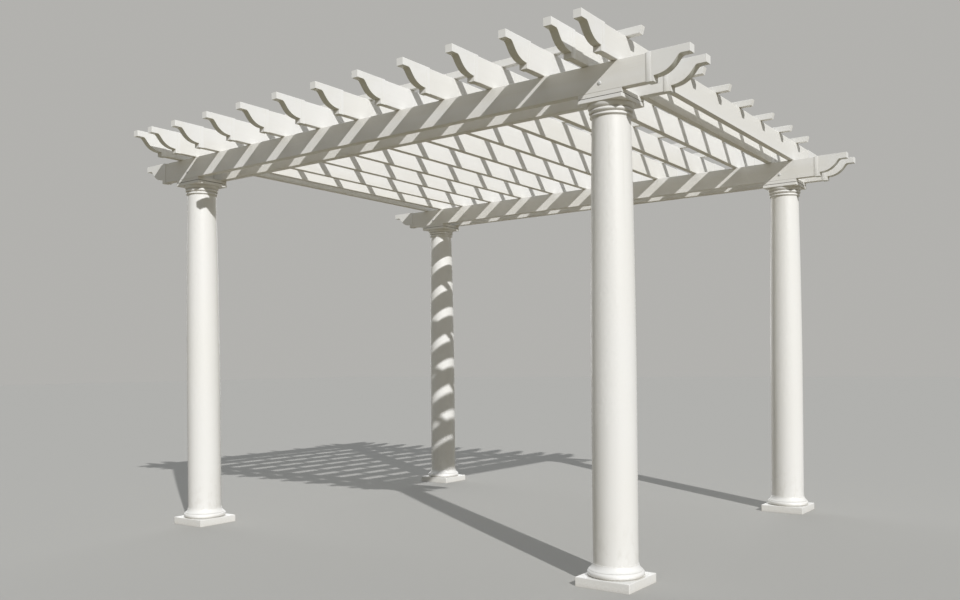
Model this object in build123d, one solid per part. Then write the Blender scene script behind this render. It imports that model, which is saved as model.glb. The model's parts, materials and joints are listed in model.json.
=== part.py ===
"""Garden pergola: four round Tuscan columns, two doubled beams, thirteen rafters and eight slats.

Frame, in millimetres: X runs along the beams, Y across them from front to back, Z up.
The origin is on the ground at the centre of the four columns.
"""
import os

from build123d import *

# Columns
column_spacing_x = 3255
column_spacing_y = 2721
column_height = 2398
shaft_bottom_diameter = 226
shaft_top_diameter = 194
shaft_straight_height = 800
shaft_neck_length = 90

# Column base: a square plinth, a torus and a cove that runs up to the shaft
plinth_width = 297
plinth_height = 46
torus_height = 32
torus_projection = 30
cove_height = 28
cove_projection = 22
edge_lip = 2

# Capital: a square abacus over an ovolo, a torus and a ring
abacus_lip = 2
abacus_height = 20
ovolo_height = 24
ovolo_projection = 21
ovolo_foot_projection = 9
capital_torus_height = 19
capital_torus_projection = 14
groove_height = 7
groove_projection = 2.5
ring_height = 12
ring_projection = 10
collar_height = 3

# Bearing block between the abacus and the beams, standing on a recessed foot
block_height = 24
block_foot_height = 4
block_foot_setback = 8

# Beams: two boards on edge over each pair of columns
beam_board_thickness = 46
beam_board_height = 137
beam_board_spacing = 194
beam_overhang = 470
spacer_length = 90
spacer_height = 110

# Rafters across the beams
rafter_thickness = 40
rafter_height = 137
rafter_overhang = 468
outer_rafter_spacing = 160
inner_rafter_count = 9
inner_rafter_pitch = 323.5

# Slats laid across the rafters, with ends cut back underneath
slat_width = 38
slat_height = 38
slat_count = 8
slat_pitch = 387
first_slat_setback = 457
slat_overhang = 84
slat_end_undercut = 10

# Ogee end caps slipped over the ends of the boards, with a raised band round the mouth
cap_wall = 2.5
cap_sleeve_length = 37
cap_band_length = 25
cap_band_rise = 0.8
nose_height = 39
nose_shelf = 44
ogee_length = 139
quirk_height = 26

# Rounded edges
board_arris = 3
slat_arris = 2.5
cap_arris = 1.2
trim_arris = 3

# Clearances
slide_clearance = 0.3

# Places worked out from the sizes
beam_seat = column_height + block_height
rafter_seat = beam_seat + beam_board_height
rafter_top = rafter_seat + rafter_height
block_width = beam_board_spacing + beam_board_thickness
abacus_width = block_width + 2 * abacus_lip
cap_solid_length = nose_shelf + ogee_length
base_height = plinth_height + torus_height + cove_height
ring_stack_height = capital_torus_height + groove_height + ring_height + collar_height
capital_height = abacus_height + ovolo_height + ring_stack_height
half_x = column_spacing_x / 2
half_y = column_spacing_y / 2

COLUMNS = {
    "front_left": (-half_x, -half_y),
    "front_right": (half_x, -half_y),
    "back_right": (half_x, half_y),
    "back_left": (-half_x, half_y),
}

BEAM_BOARDS = {
    "front_beam_outer": -half_y - beam_board_spacing / 2,
    "front_beam_inner": -half_y + beam_board_spacing / 2,
    "back_beam_inner": half_y - beam_board_spacing / 2,
    "back_beam_outer": half_y + beam_board_spacing / 2,
}


def solid_box(x_range, y_range, z_range):
    """A box between two values on each axis."""
    size = [high - low for low, high in (x_range, y_range, z_range)]
    centre = [(high + low) / 2 for low, high in (x_range, y_range, z_range)]
    return Pos(*centre) * Box(*size)


def rafter_places():
    """X of each rafter: a pair astride each column line and an even row between."""
    pair = [-outer_rafter_spacing / 2, outer_rafter_spacing / 2]
    inner_half = inner_rafter_pitch * (inner_rafter_count - 1) / 2
    inner = [index * inner_rafter_pitch - inner_half for index in range(inner_rafter_count)]
    return [-half_x + step for step in pair] + inner + [half_x + step for step in pair]


def slat_places():
    """Y of each slat's middle, counted from the front rafter ends."""
    first = -half_y - rafter_overhang + first_slat_setback
    return [first + index * slat_pitch for index in range(slat_count)]


def bar(length, width, height, arris):
    """A straight bar along X, standing on z = 0, with its four long edges rounded."""
    section = Plane.YZ * Pos(0, height / 2) * RectangleRounded(width, height, arris)
    return extrude(section, amount=length / 2, both=True)


def shaft():
    """Round shaft, straight near the ground, then tapering in a slow curve to its neck."""
    bottom_radius = shaft_bottom_diameter / 2
    top_radius = shaft_top_diameter / 2
    neck_height = column_height - shaft_neck_length
    with BuildPart() as body:
        with BuildSketch(Plane.XZ):
            with BuildLine():
                Polyline(
                    (top_radius, neck_height),
                    (top_radius, column_height),
                    (0, column_height),
                    (0, 0),
                    (bottom_radius, 0),
                    (bottom_radius, shaft_straight_height),
                )
                Spline(
                    (bottom_radius, shaft_straight_height),
                    (top_radius, neck_height),
                    tangents=((0, 1), (top_radius - bottom_radius, (neck_height - shaft_straight_height) / 2)),
                )
            make_face()
        revolve(axis=Axis.Z)
    return body.part


def half_round(radius, low, high):
    """Half-round edge of a turned moulding, from its lower to its upper corner."""
    swell = (high - low) / 2
    return ThreePointArc((radius - swell, low), (radius, low + swell), (radius - swell, high))


def base():
    """Plinth, torus and cove in one casting, with a bore that the shaft passes through."""
    shaft_radius = shaft_bottom_diameter / 2
    bore_radius = shaft_radius + slide_clearance
    torus_radius = shaft_radius + torus_projection
    torus_foot = torus_radius - torus_height / 2
    cove_radius = shaft_radius + cove_projection
    torus_top = plinth_height + torus_height
    with BuildPart() as body:
        with BuildSketch():
            Rectangle(plinth_width, plinth_width)
        extrude(amount=plinth_height)
        foot_edges = body.edges().group_by(Axis.Z)[0]
        fillet(body.edges() - foot_edges, trim_arris)
        with BuildSketch(Plane.XZ):
            with BuildLine():
                Polyline((0, base_height), (0, plinth_height), (torus_foot, plinth_height))
                half_round(torus_radius, plinth_height, torus_top)
                Line((torus_foot, torus_top), (cove_radius, torus_top))
                Spline(
                    (cove_radius, torus_top),
                    (bore_radius + edge_lip, base_height),
                    tangents=((-1, 0.6), (-0.3, 1)),
                )
                Line((bore_radius + edge_lip, base_height), (0, base_height))
            make_face()
        revolve(axis=Axis.Z)
        with BuildSketch():
            Circle(bore_radius)
        extrude(amount=base_height, mode=Mode.SUBTRACT)
    return body.part


def abacus():
    """Square top slab of the capital, with every edge but the upper four rounded."""
    slab = Pos(0, 0, abacus_height / 2) * Box(abacus_width, abacus_width, abacus_height)
    upper_edges = slab.edges().group_by(Axis.Z)[-1]
    return fillet(slab.edges() - upper_edges, trim_arris)


def capital():
    """Abacus, ovolo, torus and ring in one casting around the top of the shaft."""
    shaft_radius = shaft_top_diameter / 2
    bore_radius = shaft_radius + slide_clearance
    groove_radius = shaft_radius + groove_projection
    ring_radius = shaft_radius + ring_projection
    torus_radius = shaft_radius + capital_torus_projection
    ovolo_foot = shaft_radius + ovolo_foot_projection
    ovolo_radius = shaft_radius + ovolo_projection
    bottom = column_height - capital_height
    ring_bottom = bottom + collar_height
    ring_top = ring_bottom + ring_height
    torus_bottom = ring_top + groove_height
    torus_top = torus_bottom + capital_torus_height
    abacus_bottom = torus_top + ovolo_height
    slab = Pos(0, 0, abacus_bottom) * abacus()
    with BuildPart() as body:
        with BuildSketch(Plane.XZ):
            with BuildLine():
                Polyline((0, abacus_bottom), (0, bottom), (bore_radius + edge_lip, bottom))
                Spline(
                    (bore_radius + edge_lip, bottom),
                    (ring_radius - ring_height / 2, ring_bottom),
                    tangents=((0, 1), (1, 0.5)),
                )
                half_round(ring_radius, ring_bottom, ring_top)
                Polyline(
                    (ring_radius - ring_height / 2, ring_top),
                    (groove_radius, ring_top),
                    (groove_radius, torus_bottom),
                    (torus_radius - capital_torus_height / 2, torus_bottom),
                )
                half_round(torus_radius, torus_bottom, torus_top)
                Line((torus_radius - capital_torus_height / 2, torus_top), (ovolo_foot, torus_top))
                Spline(
                    (ovolo_foot, torus_top),
                    (ovolo_radius, abacus_bottom),
                    tangents=((1, 0.5), (0, 1)),
                )
                Line((ovolo_radius, abacus_bottom), (0, abacus_bottom))
            make_face()
        revolve(axis=Axis.Z)
        add(slab)
        with BuildSketch(Plane.XY.offset(bottom)):
            Circle(bore_radius)
        extrude(amount=capital_height, mode=Mode.SUBTRACT)
    return body.part


def bearing_block():
    """Square block that carries both beam boards, with a shadow joint round its foot."""
    foot_width = block_width - 2 * block_foot_setback
    shelf = block_height - block_foot_height
    foot = Pos(0, 0, block_foot_height / 2) * Box(foot_width, foot_width, block_foot_height)
    plate = Pos(0, 0, block_foot_height + shelf / 2) * Box(block_width, block_width, shelf)
    return Pos(0, 0, column_height) * (foot + plate)


def beam_spacer():
    """Block between the two boards of a beam, over the column, which the bolt passes through."""
    gap = beam_board_spacing - beam_board_thickness
    return Pos(0, 0, beam_seat + spacer_height / 2) * Box(spacer_length, gap, spacer_height)


def end_cap(board_thickness, board_height):
    """Ogee end cap with its nose at x = 0 and its socket opening towards +X.

    It stands on z = 0 with its middle plane on y = 0. The board's end enters the socket
    as deep as the sleeve is long. The sides are set back from the band round the mouth.
    """
    height = board_height + 2 * (cap_wall + slide_clearance)
    width = board_thickness + 2 * (cap_wall + slide_clearance)
    length = cap_solid_length + cap_sleeve_length
    shelf_height = height - nose_height
    body_width = width - 2 * cap_band_rise
    with BuildPart() as body:
        with BuildSketch(Plane.XZ.offset(-body_width / 2)):
            with BuildLine():
                Polyline(
                    (nose_shelf, shelf_height),
                    (0, shelf_height),
                    (0, height),
                    (length, height),
                    (length, 0),
                    (cap_solid_length, 0),
                    (cap_solid_length, quirk_height),
                )
                Bezier(
                    (cap_solid_length, quirk_height),
                    (nose_shelf + ogee_length / 4, quirk_height + cap_wall),
                    (nose_shelf + ogee_length / 5, shelf_height),
                    (nose_shelf, shelf_height),
                )
            make_face()
        extrude(amount=body_width)
        mouth_edges = body.faces().sort_by(Axis.X)[-1].edges()
        outline_edges = body.faces().filter_by(Plane.XZ).edges() - mouth_edges
        fillet(outline_edges.filter_by_position(Axis.Z, quirk_height, height), cap_arris)
    socket = solid_box(
        (cap_solid_length, length),
        (-board_thickness / 2 - slide_clearance, board_thickness / 2 + slide_clearance),
        (cap_wall, height - cap_wall),
    )
    band = solid_box((length - cap_band_length, length), (-width / 2, width / 2), (0, height))
    band = fillet(band.edges().filter_by(Axis.X), cap_arris)
    return body.part + band - socket


def beam_board(y):
    """Straight board of a beam, ending inside its two caps."""
    length = 2 * (half_x + beam_overhang - cap_solid_length)
    return Pos(0, y, beam_seat) * bar(length, beam_board_thickness, beam_board_height, board_arris)


def beam_caps(side, beam_y):
    """The two end caps of one beam on one side, -1 at the left and 1 at the right."""
    cap = end_cap(beam_board_thickness, beam_board_height)
    nose = half_x + beam_overhang
    seat = beam_seat - cap_wall - slide_clearance
    turn = 180 if side > 0 else 0
    boards = (beam_y - beam_board_spacing / 2, beam_y + beam_board_spacing / 2)
    return [Pos(side * nose, y, seat) * Rot(0, 0, turn) * cap for y in boards]


def rafter(x):
    """Straight board of a rafter, ending inside its two caps."""
    length = 2 * (half_y + rafter_overhang - cap_solid_length)
    board = bar(length, rafter_thickness, rafter_height, board_arris)
    return Pos(x, 0, rafter_seat) * Rot(0, 0, 90) * board


def rafter_caps(side):
    """The thirteen end caps on one side, -1 at the front and 1 at the back."""
    cap = end_cap(rafter_thickness, rafter_height)
    nose = half_y + rafter_overhang
    seat = rafter_seat - cap_wall - slide_clearance
    turn = -90 if side > 0 else 90
    return [Pos(x, side * nose, seat) * Rot(0, 0, turn) * cap for x in rafter_places()]


def slat(y):
    """Square slat that lies across all the rafters, its ends cut back underneath."""
    reach = half_x + outer_rafter_spacing / 2 + rafter_thickness / 2 + slat_overhang
    foot_reach = reach - slat_end_undercut
    outline = Polygon(
        (-reach, slat_height),
        (-foot_reach, 0),
        (foot_reach, 0),
        (reach, slat_height),
        align=None,
    )
    trimmed = extrude(Plane.XZ * outline, amount=slat_width, both=True)
    body = bar(2 * reach, slat_width, slat_height, slat_arris) & trimmed
    return Pos(0, y, rafter_top) * body


def main():
    """Write each node of the pergola as one STEP file."""
    os.makedirs("parts", exist_ok=True)
    nodes = {}
    for place, (x, y) in COLUMNS.items():
        nodes[f"column_base_{place}"] = Pos(x, y, 0) * base()
        nodes[f"column_shaft_{place}"] = Pos(x, y, 0) * shaft()
        nodes[f"column_capital_{place}"] = Pos(x, y, 0) * capital()
        nodes[f"bearing_block_{place}"] = Pos(x, y, 0) * bearing_block()
    for name, y in BEAM_BOARDS.items():
        nodes[name] = beam_board(y)
    spacers = [Pos(x, y, 0) * beam_spacer() for x, y in COLUMNS.values()]
    nodes["beam_spacers"] = Compound(children=spacers)
    for beam, y in (("front", -half_y), ("back", half_y)):
        nodes[f"{beam}_beam_caps_left"] = Compound(children=beam_caps(-1, y))
        nodes[f"{beam}_beam_caps_right"] = Compound(children=beam_caps(1, y))
    for number, x in enumerate(rafter_places(), start=1):
        nodes[f"rafter_{number:02d}"] = rafter(x)
    nodes["rafter_caps_front"] = Compound(children=rafter_caps(-1))
    nodes["rafter_caps_back"] = Compound(children=rafter_caps(1))
    for number, y in enumerate(slat_places(), start=1):
        nodes[f"slat_{number:02d}"] = slat(y)
    for name, shape in nodes.items():
        export_step(shape, f"parts/{name}.step")
    print(len(nodes), "nodes")


main()
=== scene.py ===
# %% [markdown]
# # A white garden pergola
#
# Four round columns carry two doubled beams, thirteen rafters with ogee ends lie across the
# beams, and eight square slats lie across the rafters. The construction comes from the packed
# frame at its real size and stays as it is. This lesson gives it the looks: the camera and the
# light, a finish for each kind of piece, and the small hardware that is too fine for the frame.
# Lengths are in metres, X runs along the beams, Y from the front beam to the back one, Z is up.

# %% Load the frame
import json
import math
import bpy
from mathutils import Matrix, Vector


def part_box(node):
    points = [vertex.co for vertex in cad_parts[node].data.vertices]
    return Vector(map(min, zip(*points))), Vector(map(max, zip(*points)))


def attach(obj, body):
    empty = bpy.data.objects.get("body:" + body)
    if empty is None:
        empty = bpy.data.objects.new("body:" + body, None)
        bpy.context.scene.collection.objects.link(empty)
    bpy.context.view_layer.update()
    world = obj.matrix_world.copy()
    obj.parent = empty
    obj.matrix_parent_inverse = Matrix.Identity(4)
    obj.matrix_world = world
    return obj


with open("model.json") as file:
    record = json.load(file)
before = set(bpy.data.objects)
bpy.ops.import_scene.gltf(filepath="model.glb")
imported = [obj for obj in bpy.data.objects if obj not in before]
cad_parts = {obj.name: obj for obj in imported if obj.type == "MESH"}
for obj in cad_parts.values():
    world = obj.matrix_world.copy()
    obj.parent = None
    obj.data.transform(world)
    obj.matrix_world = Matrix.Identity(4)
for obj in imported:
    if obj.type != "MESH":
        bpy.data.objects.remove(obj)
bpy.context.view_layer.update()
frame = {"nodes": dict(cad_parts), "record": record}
nodes = frame["nodes"]
print(len(nodes), "nodes in the frame")

# %% [markdown]
# ## The camera
#
# The picture was taken from four metres in front of the right front column and two metres to
# its right, at chest height, looking towards the left back column. The place, the heading and
# the focal length were worked out from the straight edges of the columns, beams and rafters.
# The optical axis lies below the middle of the picture, which a shift of the lens repeats
# without tilting the columns.

# %% Place the camera
photo_width = 960
sensor_width = 36
focal_length_px = 903.5
axis_below_middle_px = 63.8
camera_place = Vector((3.742, -5.384, 1.0975))
camera_heading = math.radians(36.143)
camera_tilt = math.radians(0.063)
camera_roll = math.radians(0.573)

camera_data = bpy.data.cameras.new("camera")
camera_data.sensor_width = sensor_width
camera_data.lens = focal_length_px / photo_width * sensor_width
camera_data.shift_y = axis_below_middle_px / photo_width
camera = bpy.data.objects.new("camera", camera_data)
camera.location = camera_place
camera.rotation_euler = (math.pi / 2 + camera_tilt, camera_roll, camera_heading)
bpy.context.scene.collection.objects.link(camera)
bpy.context.scene.camera = camera
print("lens", round(camera_data.lens, 2), "mm")

# %% [markdown]
# ## Floor and light
#
# White is judged against what surrounds it, so the floor is a pale warm grey that leaves the
# pergola the brightest thing in the picture. The floor's light on the undersides is a matter of
# its own: outdoors, what comes up from below is far darker and warmer than a studio floor would
# send. The material tells the two apart by the kind of ray that asks. The camera and glossy
# reflections are shown the pale grey, and every ray that carries soft light to the pergola gets
# the warmer colour. A mix node has sockets for numbers, vectors and colours under the same
# names, so those for colours are picked by their place in the list.

# %% Lay the floor
floor_reach = 60
floor_colour = (0.455, 0.45, 0.432, 1)
bounce_colour = (0.22, 0.19, 0.122, 1)
mix_share = 0
mix_colour_a = 6
mix_colour_b = 7
mix_result = 2


def seen_directly(tree):
    """1 for rays from the camera, off a glossy surface or through glass, 0 for soft light."""
    ray_kind = tree.nodes.new("ShaderNodeLightPath")
    total = ray_kind.outputs["Is Camera Ray"]
    for kind in ("Is Glossy Ray", "Is Transmission Ray"):
        addition = tree.nodes.new("ShaderNodeMath")
        addition.operation = "ADD"
        addition.use_clamp = True
        tree.links.new(total, addition.inputs[0])
        tree.links.new(ray_kind.outputs[kind], addition.inputs[1])
        total = addition.outputs[0]
    return total


bpy.ops.object.select_all(action="DESELECT")
bpy.ops.mesh.primitive_plane_add(size=2 * floor_reach)
floor = bpy.context.active_object
floor.name = "floor"
floor_material = bpy.data.materials.new("floor_grey")
floor_material.use_nodes = True
floor_tree = floor_material.node_tree
floor_shader = floor_tree.nodes["Principled BSDF"]
floor_shader.inputs["Roughness"].default_value = 0.9
floor_shader.inputs["Specular IOR Level"].default_value = 0.0
seen_colour = floor_tree.nodes.new("ShaderNodeMix")
seen_colour.data_type = "RGBA"
seen_colour.inputs[mix_colour_a].default_value = bounce_colour
seen_colour.inputs[mix_colour_b].default_value = floor_colour
floor_tree.links.new(seen_directly(floor_tree), seen_colour.inputs[mix_share])
floor_tree.links.new(seen_colour.outputs[mix_result], floor_shader.inputs["Base Color"])
floor.data.materials.append(floor_material)

# %% [markdown]
# The key lamp stands where the sun stood in the photograph. Its direction was measured: the
# stripe of light between two rafters starts on the front beam where the corner of a rafter
# throws its shadow, and it slants by about 1.33 for every 1 it falls. The shadows that the slats
# throw on the rafters' sides give the other slant, 0.87. The width of the stripes agrees with
# both, and the bands of light on the left back column nearly do. The lamp is about as large as
# the sun, which keeps the bands crisp down to the floor. A weak plain sky fills the shade, so
# that the pattern of stripes, which is half of what the eye reads as a pergola, keeps its
# contrast. A very broad weak lamp behind and to the left keeps the far sides white as well. It
# can't reach the faces that the camera sees in shade, so the stripes stay as they are.

# %% Light the scene
towards_lamp = Vector((1.33, -0.87, 1.0))
lamp_strength = 2.95
lamp_softness = math.radians(0.6)
lamp_colour = (1.0, 0.995, 0.985)
towards_fill = Vector((-1.0, 0.9, 0.7))
fill_strength = 1.25
fill_softness = math.radians(70)
fill_colour = (0.98, 0.99, 1.0)
sky_strength = 0.3
sky_colour = (0.94, 0.975, 1.0, 1)


def sun_lamp(name, towards, strength, softness, colour):
    """A lamp without a place, whose light comes from one direction everywhere."""
    data = bpy.data.lights.new(name, "SUN")
    data.energy = strength
    data.angle = softness
    data.color = colour
    lamp = bpy.data.objects.new(name, data)
    lamp.rotation_euler = towards.to_track_quat("Z", "Y").to_euler()
    bpy.context.scene.collection.objects.link(lamp)


sun_lamp("key_lamp", towards_lamp, lamp_strength, lamp_softness, lamp_colour)
sun_lamp("fill_lamp", towards_fill, fill_strength, fill_softness, fill_colour)

world = bpy.data.worlds.new("sky")
world.use_nodes = True
sky = world.node_tree.nodes["Background"]
sky.inputs["Color"].default_value = sky_colour
sky.inputs["Strength"].default_value = sky_strength
bpy.context.scene.world = world
bpy.context.scene.view_settings.view_transform = "Standard"
print("lamp elevation", round(math.degrees(math.asin(towards_lamp.normalized().z)), 1))

# %% [markdown]
# The sky that lights the pergola would show as a darker band above the horizon. The camera gets
# a backdrop instead, exactly as bright as the lit floor, so that floor and backdrop become one.
# How bright that is follows from the lamps, which meet the floor at a slant, and from the sky.

# %% Hang the backdrop
def light_on_floor(towards, strength):
    """What a lamp adds to a white floor, where 1 is white."""
    return strength * towards.normalized().z / math.pi


floor_light = sky_strength
floor_light += light_on_floor(towards_lamp, lamp_strength)
floor_light += light_on_floor(towards_fill, fill_strength)
world_tree = world.node_tree
backdrop = world_tree.nodes.new("ShaderNodeBackground")
backdrop.inputs["Color"].default_value = floor_colour
backdrop.inputs["Strength"].default_value = floor_light
choice = world_tree.nodes.new("ShaderNodeMixShader")
world_tree.links.new(seen_directly(world_tree), choice.inputs[0])
world_tree.links.new(sky.outputs[0], choice.inputs[1])
world_tree.links.new(backdrop.outputs[0], choice.inputs[2])
world_tree.links.new(choice.outputs[0], world_tree.nodes["World Output"].inputs[0])
print("light on the floor", round(floor_light, 3))

# %% [markdown]
# ## Rounded shading on the frame's pieces
#
# The pieces arrive as loose flat triangles, so a turned column would show its facets. They
# could be remodelled, but they already have the right shape. Three live modifiers keep it:
# a weld joins the triangles, a small node group marks every edge sharper than a set angle and
# smooths the rest, and weighted normals keep the flats of a board flat beside its rounded edges.

# %% Smooth by angle, as a node group
weld_distance = 0.00002
sharp_angle = math.radians(32)


def smoothing_group():
    """A node group that smooths faces and leaves the edges over the sharp angle crisp."""
    group = bpy.data.node_groups.new("smooth_by_angle", "GeometryNodeTree")
    group.interface.new_socket("Geometry", in_out="INPUT", socket_type="NodeSocketGeometry")
    group.interface.new_socket("Geometry", in_out="OUTPUT", socket_type="NodeSocketGeometry")
    entry = group.nodes.new("NodeGroupInput")
    smooth_faces = group.nodes.new("GeometryNodeSetShadeSmooth")
    smooth_faces.domain = "FACE"
    edge_angle = group.nodes.new("GeometryNodeInputMeshEdgeAngle")
    is_soft = group.nodes.new("FunctionNodeCompare")
    is_soft.data_type = "FLOAT"
    is_soft.operation = "LESS_EQUAL"
    is_soft.inputs["B"].default_value = sharp_angle
    smooth_edges = group.nodes.new("GeometryNodeSetShadeSmooth")
    smooth_edges.domain = "EDGE"
    leave = group.nodes.new("NodeGroupOutput")
    group.links.new(entry.outputs[0], smooth_faces.inputs["Geometry"])
    group.links.new(smooth_faces.outputs[0], smooth_edges.inputs["Geometry"])
    group.links.new(edge_angle.outputs["Unsigned Angle"], is_soft.inputs["A"])
    group.links.new(is_soft.outputs[0], smooth_edges.inputs["Shade Smooth"])
    group.links.new(smooth_edges.outputs[0], leave.inputs[0])
    return group


smoothing = smoothing_group()
for node in nodes.values():
    weld = node.modifiers.new("weld", "WELD")
    weld.merge_threshold = weld_distance
    rounding = node.modifiers.new("smooth_by_angle", "NODES")
    rounding.node_group = smoothing
    weighting = node.modifiers.new("weighted_normals", "WEIGHTED_NORMAL")
    weighting.keep_sharp = True
print("smoothed", len(nodes), "nodes")

# %% [markdown]
# ## Building a finish in layers
#
# Paint and plastic outdoors are never one flat colour: the maker's surface comes first, and
# weather lies on top of it. Each finish below is built the same way. It starts from a clean
# colour, and small helpers add layers to it: patterns of a given real size, masks for corners,
# for faces that look up and for heights above the floor, stains that use those masks, gloss
# that varies, and relief. The stains on the corner mask are dirt and painted shade together,
# since that mask is strongest where the surface is hemmed in and shade falls. All of it is
# worked out from the place on the object, so there is no picture to wrap and no seam to hide.
# Sizes, reaches and depths are in metres. A ramp's low and high are the values of a pattern,
# or the heights, between which a mask fades in.

# %% Start a finish
def start_finish(name, colour):
    """A new material that holds its node tree, its shader and the colour reached so far."""
    material = bpy.data.materials.new(name)
    material.use_nodes = True
    tree = material.node_tree
    return {
        "material": material,
        "tree": tree,
        "shader": tree.nodes["Principled BSDF"],
        "place": tree.nodes.new("ShaderNodeTexCoord").outputs["Object"],
        "colour": (*colour, 1),
        "normal": None,
    }


def wire(finish, value, socket):
    """Feeds a socket from another one, or sets it to a fixed number or colour."""
    if isinstance(value, (int, float, tuple)):
        socket.default_value = value
    else:
        finish["tree"].links.new(value, socket)


# %% Patterns and masks
def pattern(finish, size, detail=3.0, shift=0.0):
    """Noise from 0 to 1 whose blotches are about as large as the three sizes given."""
    spread = finish["tree"].nodes.new("ShaderNodeMapping")
    spread.inputs["Scale"].default_value = [1 / length for length in size]
    spread.inputs["Location"].default_value = (shift, shift, shift)
    noise = finish["tree"].nodes.new("ShaderNodeTexNoise")
    noise.inputs["Scale"].default_value = 1.0
    noise.inputs["Detail"].default_value = detail
    wire(finish, finish["place"], spread.inputs["Vector"])
    wire(finish, spread.outputs[0], noise.inputs["Vector"])
    return noise.outputs["Fac"]


def ramp(finish, value, low, high, to_low=0.0, to_high=1.0):
    """Turns the stretch from low to high into the stretch from to_low to to_high, smoothly."""
    node = finish["tree"].nodes.new("ShaderNodeMapRange")
    node.interpolation_type = "SMOOTHSTEP"
    wire(finish, value, node.inputs["Value"])
    node.inputs["From Min"].default_value = low
    node.inputs["From Max"].default_value = high
    node.inputs["To Min"].default_value = to_low
    node.inputs["To Max"].default_value = to_high
    return node.outputs["Result"]


def both(finish, first, second):
    """Multiplies two values, so a mask made of two masks is strong only where both are."""
    node = finish["tree"].nodes.new("ShaderNodeMath")
    node.operation = "MULTIPLY"
    wire(finish, first, node.inputs[0])
    wire(finish, second, node.inputs[1])
    return node.outputs[0]


def height_above_floor(finish):
    """Height of the point above the floor, in metres."""
    split = finish["tree"].nodes.new("ShaderNodeSeparateXYZ")
    wire(finish, finish["place"], split.inputs[0])
    return split.outputs["Z"]


def looking_up(finish):
    """1 on a face that looks at the sky, 0 on a wall, -1 on an underside."""
    geometry = finish["tree"].nodes.new("ShaderNodeNewGeometry")
    split = finish["tree"].nodes.new("ShaderNodeSeparateXYZ")
    wire(finish, geometry.outputs["Normal"], split.inputs[0])
    return split.outputs["Z"]


def corner_dirt_and_shade(finish, reach):
    """Rises towards 1 within the given distance of a corner or a joint, where the surface is
    hemmed in and shade falls; stains on it are dirt and painted shade.
    """
    openness = finish["tree"].nodes.new("ShaderNodeAmbientOcclusion")
    openness.samples = 6
    openness.inputs["Distance"].default_value = reach
    return ramp(finish, openness.outputs["AO"], low=0.95, high=0.35)


# %% Stains, gloss and relief
def stain(finish, mask, colour, strength):
    """Moves the colour towards another one where the mask says so."""
    amount = both(finish, mask, strength)
    mix = finish["tree"].nodes.new("ShaderNodeMix")
    mix.data_type = "RGBA"
    wire(finish, amount, mix.inputs[mix_share])
    wire(finish, finish["colour"], mix.inputs[mix_colour_a])
    mix.inputs[mix_colour_b].default_value = (*colour, 1)
    finish["colour"] = mix.outputs[mix_result]


def relief(finish, height, depth):
    """Raises and lowers the surface's shading by a depth in metres."""
    bump = finish["tree"].nodes.new("ShaderNodeBump")
    bump.inputs["Distance"].default_value = depth
    wire(finish, height, bump.inputs["Height"])
    if finish["normal"] is not None:
        wire(finish, finish["normal"], bump.inputs["Normal"])
    finish["normal"] = bump.outputs["Normal"]


def clear_coat(finish, weight, roughness):
    """Adds the thin clear skin that paint and moulded plastic have."""
    finish["shader"].inputs["Coat Weight"].default_value = weight
    finish["shader"].inputs["Coat Roughness"].default_value = roughness


def complete(finish, gloss_pattern, smoothest, roughest):
    """Connects colour, gloss and relief to the shader and gives back the material."""
    shader = finish["shader"]
    wire(finish, finish["colour"], shader.inputs["Base Color"])
    roughness = ramp(
        finish, gloss_pattern, low=0.3, high=0.7, to_low=smoothest, to_high=roughest
    )
    wire(finish, roughness, shader.inputs["Roughness"])
    wire(finish, finish["normal"], shader.inputs["Normal"])
    return finish["material"]


# %% Colours that several finishes share
dust_colour = (0.60, 0.58, 0.51)
splash_and_corner_shade_colour = (0.44, 0.40, 0.32)
green_film_and_shade_colour = (0.50, 0.53, 0.42)
aged_white = (0.83, 0.815, 0.765)
paint_white = (0.875, 0.872, 0.86)
print("helpers and colours ready")

# %% [markdown]
# ## The column shafts
#
# The shafts are moulded shells, rubbed down and painted. Close to, the paint has a fine orange
# peel, and from further off it clouds slightly. Rain runs off the capital and leaves faint
# upright streaks that fade towards eye level, and splashes dull the lowest forty centimetres.
# A pattern that is stretched along Z gives the streaks without any unwrapping.

# %% Finish of the shafts
def shaft_finish():
    finish = start_finish("column_shaft_paint", paint_white)
    height = height_above_floor(finish)
    clouds = pattern(finish, (0.5, 0.5, 0.8), detail=4.0)
    stain(finish, ramp(finish, clouds, low=0.42, high=0.68), aged_white, strength=0.26)
    streaks = pattern(finish, (0.018, 0.018, 0.9), detail=3.0, shift=4.0)
    under_capital = ramp(finish, height, low=1.5, high=2.35)
    streak_mask = both(finish, ramp(finish, streaks, low=0.55, high=0.75), under_capital)
    stain(finish, streak_mask, dust_colour, strength=0.13)
    splashes = pattern(finish, (0.03, 0.03, 0.06), detail=5.0, shift=2.0)
    near_floor = ramp(finish, height, low=0.42, high=0.08)
    splash_mask = both(finish, ramp(finish, splashes, low=0.45, high=0.7), near_floor)
    stain(finish, splash_mask, splash_and_corner_shade_colour, strength=0.14)
    specks = pattern(finish, (0.006, 0.006, 0.006), detail=2.0, shift=7.0)
    stain(finish, ramp(finish, specks, low=0.70, high=0.80), dust_colour, strength=0.14)
    # The corner mask darkens the shaft where it meets base and capital: dirt and painted shade.
    stain(finish, corner_dirt_and_shade(finish, reach=0.02), splash_and_corner_shade_colour, strength=0.22)
    relief(finish, pattern(finish, (0.35, 0.35, 0.5), detail=1.0), depth=0.0006)
    relief(finish, pattern(finish, (0.004, 0.004, 0.004), detail=2.0), depth=0.00012)
    clear_coat(finish, weight=0.12, roughness=0.22)
    return complete(finish, clouds, smoothest=0.34, roughest=0.46)
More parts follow.
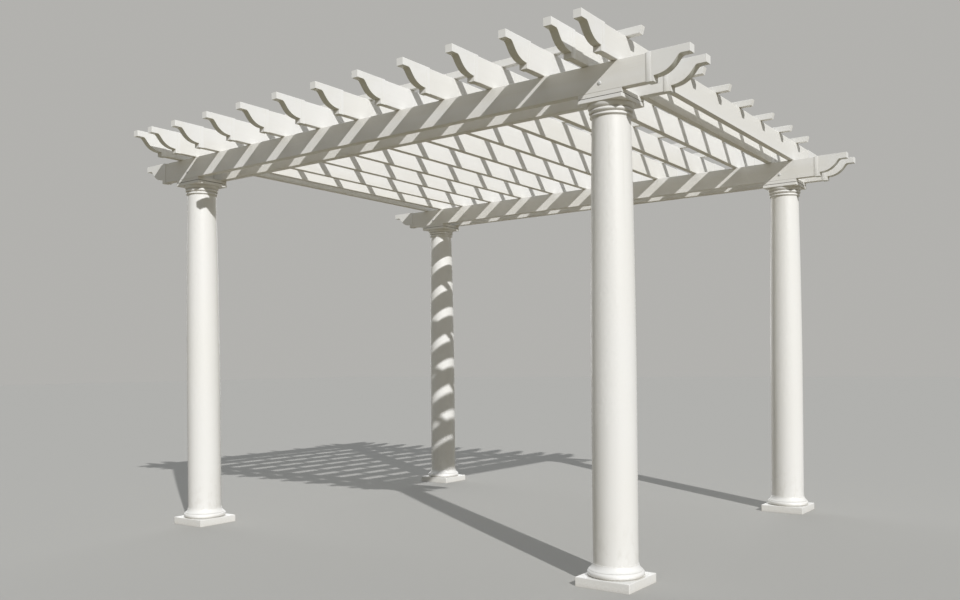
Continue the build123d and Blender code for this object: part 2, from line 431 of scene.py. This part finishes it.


# %% [markdown]
# ## The moulded bases and capitals
#
# Base and capital are castings in the same paint, but dirt settles in their grooves and on
# their ledges. The mask for corners darkens the grooves between the mouldings with grainy dirt
# and painted shade, a mask for faces that look up lays dust on the plinth, and rain has
# splashed dirt on the plinth's foot.

# %% Finish of the bases and capitals
def trim_finish():
    finish = start_finish("column_trim_paint", paint_white)
    height = height_above_floor(finish)
    clouds = pattern(finish, (0.12, 0.12, 0.12), detail=4.0)
    stain(finish, ramp(finish, clouds, low=0.40, high=0.68), aged_white, strength=0.22)
    ledges = ramp(finish, looking_up(finish), low=0.45, high=0.95)
    grains = pattern(finish, (0.004, 0.004, 0.004), detail=4.0, shift=3.0)
    dust_mask = both(finish, ledges, ramp(finish, grains, low=0.20, high=0.75))
    stain(finish, dust_mask, dust_colour, strength=0.20)
    near_floor = ramp(finish, height, low=0.055, high=0.0)
    splashes = pattern(finish, (0.012, 0.012, 0.008), detail=4.0, shift=5.0)
    splash_mask = both(finish, ramp(finish, splashes, low=0.30, high=0.75), near_floor)
    stain(finish, splash_mask, splash_and_corner_shade_colour, strength=0.18)
    grainy = ramp(finish, grains, low=0.2, high=0.6)
    # Grainy dirt and painted shade in the grooves, from the corner mask.
    crease_dirt_and_shade = both(finish, corner_dirt_and_shade(finish, reach=0.016), grainy)
    stain(finish, crease_dirt_and_shade, splash_and_corner_shade_colour, strength=0.34)
    relief(finish, pattern(finish, (0.08, 0.08, 0.08), detail=1.0), depth=0.0006)
    relief(finish, pattern(finish, (0.003, 0.003, 0.003), detail=2.0), depth=0.00012)
    clear_coat(finish, weight=0.12, roughness=0.22)
    return complete(finish, clouds, smoothest=0.36, roughest=0.50)


# %% [markdown]
# ## Boards and slats
#
# Beams, rafters and slats are long white boards. The tool that shapes such a board leaves very
# fine lines along it, and a long board is never dead flat, so its gloss wavers slowly. Each
# board also ages a little differently. All three come from patterns that are stretched along
# the board. Its direction differs from kind to kind, so the function takes the board's axis and
# builds the sizes from it. Tops gather dust, and undersides that never dry grow a trace of
# green.

# %% Finish of a board along a given axis
board_white = (0.875, 0.872, 0.86)
rafter_board_white = (0.88, 0.876, 0.862)
slat_board_white = (0.875, 0.87, 0.855)
along_x = 0
along_y = 1


def board_finish(name, colour, along, tone_size):
    """A board's finish. Boards of one kind differ in tone over the given distance."""

    def stretched(length, width):
        size = [width, width, width]
        size[along] = length
        return size

    finish = start_finish(name, colour)
    tones = pattern(finish, stretched(6.0, tone_size), detail=1.0, shift=11.0)
    stain(finish, ramp(finish, tones, low=0.40, high=0.66), aged_white, strength=0.45)
    clouds = pattern(finish, stretched(0.55, 0.16), detail=4.0)
    stain(finish, ramp(finish, clouds, low=0.42, high=0.72), dust_colour, strength=0.08)
    lines = pattern(finish, stretched(1.2, 0.004), detail=2.0, shift=1.0)
    stain(finish, ramp(finish, lines, low=0.50, high=0.80), dust_colour, strength=0.10)
    up = looking_up(finish)
    tops = ramp(finish, up, low=0.6, high=1.0)
    grains = pattern(finish, (0.02, 0.02, 0.02), detail=5.0, shift=3.0)
    dust_mask = both(finish, tops, ramp(finish, grains, low=0.25, high=0.75))
    stain(finish, dust_mask, dust_colour, strength=0.38)
    undersides = ramp(finish, up, low=-0.6, high=-1.0)
    damp = pattern(finish, stretched(0.30, 0.05), detail=4.0, shift=6.0)
    damp_mask = both(finish, undersides, ramp(finish, damp, low=0.45, high=0.75))
    stain(finish, damp_mask, green_film_and_shade_colour, strength=0.22)
    # The corner mask darkens the boards where they meet and cross: dirt and painted shade.
    stain(finish, corner_dirt_and_shade(finish, reach=0.018), splash_and_corner_shade_colour, strength=0.30)
    relief(finish, clouds, depth=0.0008)
    relief(finish, lines, depth=0.00010)
    return complete(finish, clouds, smoothest=0.36, roughest=0.50)


def beam_finish():
    return board_finish("beam_board_white", board_white, along_x, tone_size=0.09)


def rafter_finish():
    return board_finish("rafter_white", rafter_board_white, along_y, tone_size=0.21)


def slat_finish():
    return board_finish("slat_white", slat_board_white, along_x, tone_size=0.17)


# %% [markdown]
# ## End caps
#
# The ogee ends are moulded caps that slip over the boards. They are made apart from the boards,
# so they are a shade brighter and a little glossier. Under the nose and the curve, where no rain
# washes and water hangs, a thin greenish film and darker drips form. Every underside is also
# darkened evenly, a greenish film and painted shade, and the corner mask lays dirt and painted
# shade along the sleeve's edge.

# %% Finish of the end caps
moulded_white = (0.89, 0.888, 0.877)


def cap_finish():
    finish = start_finish("end_cap_white", moulded_white)
    clouds = pattern(finish, (0.09, 0.09, 0.09), detail=3.0)
    stain(finish, ramp(finish, clouds, low=0.42, high=0.70), aged_white, strength=0.28)
    up = looking_up(finish)
    tops = ramp(finish, up, low=0.6, high=1.0)
    grains = pattern(finish, (0.016, 0.016, 0.016), detail=5.0, shift=3.0)
    dust_mask = both(finish, tops, ramp(finish, grains, low=0.25, high=0.75))
    stain(finish, dust_mask, dust_colour, strength=0.34)
    slopes_and_undersides = ramp(finish, up, low=0.1, high=-0.5)
    drips = pattern(finish, (0.012, 0.012, 0.12), detail=3.0, shift=8.0)
    drip_mask = both(finish, slopes_and_undersides, ramp(finish, drips, low=0.5, high=0.75))
    stain(finish, drip_mask, green_film_and_shade_colour, strength=0.30)
    # Every underside is darkened evenly in the greenish colour: a greenish film and painted
    # shade.
    undersides = ramp(finish, up, low=0.0, high=-0.5)
    stain(finish, undersides, green_film_and_shade_colour, strength=0.32)
    # The corner mask darkens the sleeve's edge and the cap's joints: dirt and painted shade.
    stain(finish, corner_dirt_and_shade(finish, reach=0.010), splash_and_corner_shade_colour, strength=0.45)
    relief(finish, clouds, depth=0.0005)
    relief(finish, pattern(finish, (0.0025, 0.0025, 0.0025), detail=1.0), depth=0.00006)
    clear_coat(finish, weight=0.15, roughness=0.18)
    return complete(finish, clouds, smoothest=0.28, roughest=0.40)


# %% [markdown]
# ## Bearing blocks
#
# The block between capital and beams is cut from board, so its edges are raw and slightly
# rougher. The corner mask darkens it most of all, with dirt and painted shade where it meets
# capital and beams. A mask by height paints its recessed foot almost black, painted shade in
# the recess, so that the joint reads as a line from far away.

# %% Finish of the bearing blocks
block_white = (0.865, 0.86, 0.845)
joint_shade_colour = (0.17, 0.16, 0.14)
joint_height = 0.004
joint_fade = 0.0005
joint_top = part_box("bearing_block_front_left")[0].z + joint_height
joint_shade_ends_above = joint_top + joint_fade
joint_shade_full_below = joint_top - joint_fade


def block_finish():
    finish = start_finish("bearing_block_white", block_white)
    fibres = pattern(finish, (0.15, 0.15, 0.004), detail=4.0)
    stain(finish, ramp(finish, fibres, low=0.45, high=0.75), dust_colour, strength=0.18)
    blotches = pattern(finish, (0.06, 0.06, 0.03), detail=4.0, shift=2.0)
    stain(finish, ramp(finish, blotches, low=0.42, high=0.7), aged_white, strength=0.45)
    # The corner mask darkens the block where it meets capital and beams: dirt and painted shade.
    stain(finish, corner_dirt_and_shade(finish, reach=0.014), splash_and_corner_shade_colour, strength=0.50)
    height = height_above_floor(finish)
    # Painted shade: the recessed foot is painted almost black, as the shadow in the recess would
    # be.
    painted_joint_shade = ramp(finish, height, low=joint_shade_ends_above, high=joint_shade_full_below)
    stain(finish, painted_joint_shade, joint_shade_colour, strength=0.9)
    relief(finish, fibres, depth=0.00020)
    return complete(finish, blotches, smoothest=0.44, roughest=0.58)


# %% Give every node its finish
finishes = {
    "column_shaft_white": shaft_finish(),
    "column_trim_white": trim_finish(),
    "bearing_block_white": block_finish(),
    "beam_board_white": beam_finish(),
    "rafter_white": rafter_finish(),
    "end_cap_white": cap_finish(),
    "slat_white": slat_finish(),
}
for subpart in frame["record"]["subparts"]:
    mesh = nodes[subpart["node"]].data
    mesh.materials.clear()
    mesh.materials.append(finishes[subpart["material_slot"]])
print(len(finishes), "finishes on", len(nodes), "nodes")

# %% [markdown]
# ## Through-bolts
#
# One bolt holds the two boards of each beam together over each column. From the front only its
# low domed head shows, a small grey dot near the lower edge of the board, and behind the second
# board are its washer and nut. The head starts as a disc, and every step of the loop extrudes
# the outer face and shrinks it, which makes the dome. The last ring stops half a step short of
# the middle, so the dome ends in a small flat. The nut starts as a six-sided cylinder whose
# corners are taken down. One bolt is modelled and copied to the four places.

# %% Measures of the bolt
head_radius = 0.010
head_height = 0.005
head_rim = 0.0012
head_sides = 40
dome_steps = 6
shank_radius = 0.005
shank_sides = 24
shank_bevel = 0.0009
washer_radius = 0.0145
washer_thickness = 0.0025
washer_sides = 40
washer_bevel = 0.0006
nut_radius = 0.0092
nut_height = 0.008
nut_sides = 6
nut_bevel = 0.0011
thread_overhang = 0.006
bolt_above_beam_underside = 0.042
front_beam_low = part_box("front_beam_outer")[0]
front_beam_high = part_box("front_beam_inner")[1]
beam_pair_width = front_beam_high.y - front_beam_low.y
print("bolt passes through", round(beam_pair_width, 3), "m")


# %% Helpers for modelling in place
towards_front = Vector((0, -1, 0))
towards_back = Vector((0, 1, 0))
towards_right = Vector((1, 0, 0))
roughly = 0.9
squarely = 0.999
hardware_sharp_angle = math.radians(35)


def deselect():
    """Leaves object mode with nothing selected."""
    if bpy.context.object and bpy.context.object.mode != "OBJECT":
        bpy.ops.object.mode_set(mode="OBJECT")
    bpy.ops.object.select_all(action="DESELECT")


def select_faces_towards(direction, limit=roughly):
    """In edit mode, selects the faces of the active object that look along a direction."""
    bpy.ops.mesh.select_mode(type="FACE")
    bpy.ops.mesh.select_all(action="DESELECT")
    bpy.ops.object.mode_set(mode="OBJECT")
    for face in bpy.context.object.data.polygons:
        face.select = face.normal.dot(direction) > limit
    bpy.ops.object.mode_set(mode="EDIT")


def cylinder_along_y(name, radius, start, length, sides):
    """A cylinder whose axis lies along Y and whose first end is at y = start."""
    deselect()
    bpy.ops.mesh.primitive_cylinder_add(
        vertices=sides,
        radius=radius,
        depth=length,
        location=(0, start + length / 2, 0),
        rotation=(math.pi / 2, 0, 0),
    )
    piece = bpy.context.active_object
    piece.name = name
    bpy.ops.object.transform_apply(location=True, rotation=True, scale=True)
    return piece


def join(pieces, name):
    """Joins several objects to one with the given name."""
    deselect()
    for piece in pieces:
        piece.select_set(True)
    bpy.context.view_layer.objects.active = pieces[0]
    bpy.ops.object.join()
    joined = bpy.context.active_object
    joined.name = name
    return joined


# %% The domed head
def bolt_head():
    head = cylinder_along_y("bolt_head", head_radius, -head_rim, head_rim, head_sides)
    bpy.ops.object.mode_set(mode="EDIT")
    reached_radius = head_radius
    reached_height = 0.0
    dome_height = head_height - head_rim
    steps_to_middle = dome_steps + 0.5
    for step in range(1, dome_steps + 1):
        angle = math.pi / 2 * step / steps_to_middle
        ring_radius = head_radius * math.cos(angle)
        ring_height = dome_height * math.sin(angle)
        select_faces_towards(towards_front, squarely)
        rise = reached_height - ring_height
        bpy.ops.mesh.extrude_region_move(TRANSFORM_OT_translate={"value": (0, rise, 0)})
        shrink = ring_radius / reached_radius
        bpy.ops.transform.resize(value=(shrink, 1, shrink), center_override=(0, 0, 0))
        reached_radius = ring_radius
        reached_height = ring_height
    bpy.ops.object.mode_set(mode="OBJECT")
    return head


# %% Washer, nut and thread
def bevel_back_faces(width, segments):
    """Rounds the rim of the faces that look towards the back."""
    select_faces_towards(towards_back)
    bpy.ops.mesh.bevel(offset=width, segments=segments, affect="EDGES")
    bpy.ops.object.mode_set(mode="OBJECT")


def bolt_washer():
    washer = cylinder_along_y(
        "bolt_washer", washer_radius, beam_pair_width, washer_thickness, washer_sides
    )
    bpy.ops.object.mode_set(mode="EDIT")
    bevel_back_faces(washer_bevel, segments=2)
    return washer


def bolt_nut():
    start = beam_pair_width + washer_thickness
    nut = cylinder_along_y("bolt_nut", nut_radius, start, nut_height, nut_sides)
    bpy.ops.object.mode_set(mode="EDIT")
    bevel_back_faces(nut_bevel, segments=1)
    return nut


def bolt_shank():
    length = beam_pair_width + washer_thickness + nut_height + thread_overhang
    shank = cylinder_along_y("bolt_shank", shank_radius, 0.0, length, shank_sides)
    bpy.ops.object.mode_set(mode="EDIT")
    bevel_back_faces(shank_bevel, segments=1)
    return shank


through_bolt = join([bolt_head(), bolt_washer(), bolt_nut(), bolt_shank()], "through_bolt")
bpy.ops.object.shade_smooth_by_angle(angle=hardware_sharp_angle)
print("one bolt has", len(through_bolt.data.polygons), "faces")

# %% [markdown]
# The bolts are hot-dipped, so their grey is broken up in small crystals and has lost its shine.
# A cell pattern gives the crystals, a noise the dull patches.

# %% Finish of the bolts
zinc_grey = (0.71, 0.715, 0.71)
zinc_crystal_grey = (0.53, 0.54, 0.55)
dull_zinc_grey = (0.60, 0.58, 0.54)
crystals_per_metre = 350


def galvanised_finish():
    finish = start_finish("galvanised_steel", zinc_grey)
    crystals = finish["tree"].nodes.new("ShaderNodeTexVoronoi")
    crystals.inputs["Scale"].default_value = crystals_per_metre
    wire(finish, finish["place"], crystals.inputs["Vector"])
    crystal_rims = ramp(finish, crystals.outputs["Distance"], low=0.2, high=0.9)
    stain(finish, crystal_rims, zinc_crystal_grey, strength=0.5)
    dull = pattern(finish, (0.006, 0.006, 0.006), detail=3.0)
    stain(finish, ramp(finish, dull, low=0.5, high=0.75), dull_zinc_grey, strength=0.4)
    relief(finish, dull, depth=0.00015)
    finish["shader"].inputs["Metallic"].default_value = 0.35
    return complete(finish, dull, smoothest=0.45, roughest=0.68)


through_bolt.data.materials.append(galvanised_finish())

# %% Put a bolt over each column
def place_copy(model, name, move):
    """Copies a model with its own mesh, moves the mesh into place and lets it ride."""
    piece = model.copy()
    piece.data = model.data.copy()
    piece.name = name
    piece.data.transform(move)
    bpy.context.scene.collection.objects.link(piece)
    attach(piece, "root")
    return piece


def shift_by(x, y, z):
    """A matrix that moves by three lengths."""
    return Matrix.Translation((x, y, z))


columns = ("front_left", "front_right", "back_left", "back_right")
column_places = {}
for corner in columns:
    low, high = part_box("column_shaft_" + corner)
    column_places[corner] = (low + high) / 2

beam_faces = {
    "front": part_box("front_beam_outer")[0].y,
    "back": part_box("back_beam_inner")[0].y,
}
for corner, place in column_places.items():
    beam_face = beam_faces[corner.split("_")[0]]
    bolt_height = front_beam_low.z + bolt_above_beam_underside
    move = shift_by(place.x, beam_face, bolt_height)
    place_copy(through_bolt, "through_bolt_" + corner, move)
bpy.data.objects.remove(through_bolt)
print("placed", len(column_places), "bolts")

# %% [markdown]
# ## Lips of the beam caps
#
# Round the mouth of each beam cap the mould leaves a low half-round lip. In the photograph it is
# a bright upright stripe beside the dark line of the joint, because its right flank faces the
# sun. The lip starts as a thin slab with the outline of the mouth. A loop extrudes the slab's
# face along the beam and grows it by the height of an arch, so the slab swells and shrinks
# again. Its two ends lie just inside the cap, and the four corners that run along it are
# bevelled. Most of the slab is hidden in the cap and the board.

# %% Measures of the lip
lip_length = 0.022
lip_height = 0.0012
lip_setback = 0.0015
lip_sunk = 0.0003
lip_corner = 0.0018
lip_steps = 10
lip_end_slab = 0.0004
caps_low, caps_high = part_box("front_beam_caps_right")
board_low, board_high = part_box("front_beam_outer")
cap_wall = (caps_high.y - caps_low.y - beam_pair_width) / 2
cap_width = board_high.y - board_low.y + 2 * cap_wall
cap_depth = caps_high.z - caps_low.z
print("mouth of a beam cap", round(cap_width, 4), "by", round(cap_depth, 4))


# %% Model one lip
def lip_rise(step):
    """Height of the lip's outline over the cap's surface at a step along the lip."""
    return lip_height * math.sin(math.pi * step / lip_steps) - lip_sunk


def lip_place(step):
    """Place along the beam of a step, counted from the lip's middle."""
    return -lip_length / 2 * math.cos(math.pi * step / lip_steps)


def beam_cap_lip():
    start_width = cap_width + 2 * lip_rise(0)
    start_depth = cap_depth + 2 * lip_rise(0)
    deselect()
    bpy.ops.mesh.primitive_cube_add(
        size=1,
        location=(lip_place(0) - lip_end_slab / 2, 0, 0),
        scale=(lip_end_slab, start_width, start_depth),
    )
    lip = bpy.context.active_object
    lip.name = "beam_cap_lip"
    bpy.ops.object.transform_apply(location=True, rotation=True, scale=True)
    bpy.ops.object.mode_set(mode="EDIT")
    for step in range(1, lip_steps + 1):
        select_faces_towards(towards_right, squarely)
        advance = lip_place(step) - lip_place(step - 1)
        bpy.ops.mesh.extrude_region_move(TRANSFORM_OT_translate={"value": (advance, 0, 0)})
        wider = (cap_width + 2 * lip_rise(step)) / (cap_width + 2 * lip_rise(step - 1))
        deeper = (cap_depth + 2 * lip_rise(step)) / (cap_depth + 2 * lip_rise(step - 1))
        bpy.ops.transform.resize(value=(1, wider, deeper), center_override=(0, 0, 0))
    bpy.ops.mesh.select_mode(type="EDGE")
    bpy.ops.mesh.select_all(action="DESELECT")
    bpy.ops.object.mode_set(mode="OBJECT")
    points = lip.data.vertices
    for edge in lip.data.edges:
        start, end = (points[index].co.x for index in edge.vertices)
        edge.select = abs(start - end) > lip_end_slab / 2
    bpy.ops.object.mode_set(mode="EDIT")
    bpy.ops.mesh.bevel(offset=lip_corner, segments=3, affect="EDGES")
    bpy.ops.object.mode_set(mode="OBJECT")
    bpy.ops.object.shade_smooth_by_angle(angle=hardware_sharp_angle)
    return lip


cap_lip = beam_cap_lip()
cap_lip.data.materials.append(finishes["end_cap_white"])
print("one lip has", len(cap_lip.data.polygons), "faces")

# %% Put a lip round each beam cap
from_mouth = lip_setback + lip_length / 2
lips = []
for beam in ("front", "back"):
    for side in ("left", "right"):
        low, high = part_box(beam + "_beam_caps_" + side)
        along = low.x + from_mouth if side == "right" else high.x - from_mouth
        middle = (low.z + high.z) / 2
        across = {"near": low.y + cap_width / 2, "far": high.y - cap_width / 2}
        for board, y in across.items():
            name = "_".join(("cap_lip", beam, side, board))
            lips.append(place_copy(cap_lip, name, shift_by(along, y, middle)))
bpy.data.objects.remove(cap_lip)
print("placed", len(lips), "lips")

# %% [markdown]
# ## Sealant beads
#
# Where the shaft enters its base and its capital, a thin bead of white sealant keeps the rain
# out. A perfect ring would look machined. So the points of a ring that hugs the shaft are pushed
# about by a fraction of a millimetre, and a smoothing pass leaves the slow waver of a bead drawn
# by hand.

# %% Measures of the beads
foot_bead_radius = 0.0026
foot_bead_clear_of_shaft = 0.001
foot_bead_seed = 5
neck_bead_radius = 0.0016
neck_bead_clear_of_shaft = 0.0005
neck_bead_seed = 9
base_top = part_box("column_base_front_left")[1].z
capital_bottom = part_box("column_capital_front_left")[0].z
shaft_low, shaft_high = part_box("column_shaft_front_left")
foot_radius = (shaft_high.x - shaft_low.x) / 2
neck_radius = max(
    vertex.co.x - column_places["front_left"].x
    for vertex in nodes["column_shaft_front_left"].data.vertices
    if vertex.co.z > capital_bottom
)
print("shaft radius at the foot", round(foot_radius, 4), "and at the neck", round(neck_radius, 4))


# %% Model a bead
def sealant_bead(name, ring_radius, bead_radius, height, seed):
    deselect()
    bpy.ops.mesh.primitive_torus_add(
        major_radius=ring_radius,
        minor_radius=bead_radius,
        major_segments=72,
        minor_segments=10,
        location=(0, 0, height),
    )
    bead = bpy.context.active_object
    bead.name = name
    bpy.ops.object.transform_apply(location=True, rotation=True, scale=True)
    bpy.ops.object.mode_set(mode="EDIT")
    bpy.ops.mesh.select_all(action="SELECT")
    bpy.ops.transform.vertex_random(offset=bead_radius / 3, uniform=0.4, seed=seed)
    bpy.ops.mesh.vertices_smooth(factor=0.5, repeat=2)
    bpy.ops.object.mode_set(mode="OBJECT")
    bpy.ops.object.shade_smooth()
    return bead


# %% Finish of the sealant
sealant_white = (0.84, 0.835, 0.815)


def sealant_finish():
    finish = start_finish("white_sealant", sealant_white)
    waver = pattern(finish, (0.02, 0.02, 0.02), detail=3.0)
    stain(finish, ramp(finish, waver, low=0.4, high=0.7), dust_colour, strength=0.35)
    relief(finish, pattern(finish, (0.003, 0.003, 0.003), detail=2.0), depth=0.0002)
    return complete(finish, waver, smoothest=0.30, roughest=0.55)


# %% Run a bead round both ends of each shaft
sealant = sealant_finish()
foot_ring = foot_radius + foot_bead_clear_of_shaft
neck_ring = neck_radius + neck_bead_clear_of_shaft
foot_bead = sealant_bead("foot_bead", foot_ring, foot_bead_radius, base_top, foot_bead_seed)
neck_bead = sealant_bead("neck_bead", neck_ring, neck_bead_radius, capital_bottom, neck_bead_seed)
for bead in (foot_bead, neck_bead):
    bead.data.materials.append(sealant)
for corner, place in column_places.items():
    move = shift_by(place.x, place.y, 0)
    place_copy(foot_bead, "foot_bead_" + corner, move)
    place_copy(neck_bead, "neck_bead_" + corner, move)
bpy.data.objects.remove(foot_bead)
bpy.data.objects.remove(neck_bead)
print("placed", 2 * len(column_places), "beads")
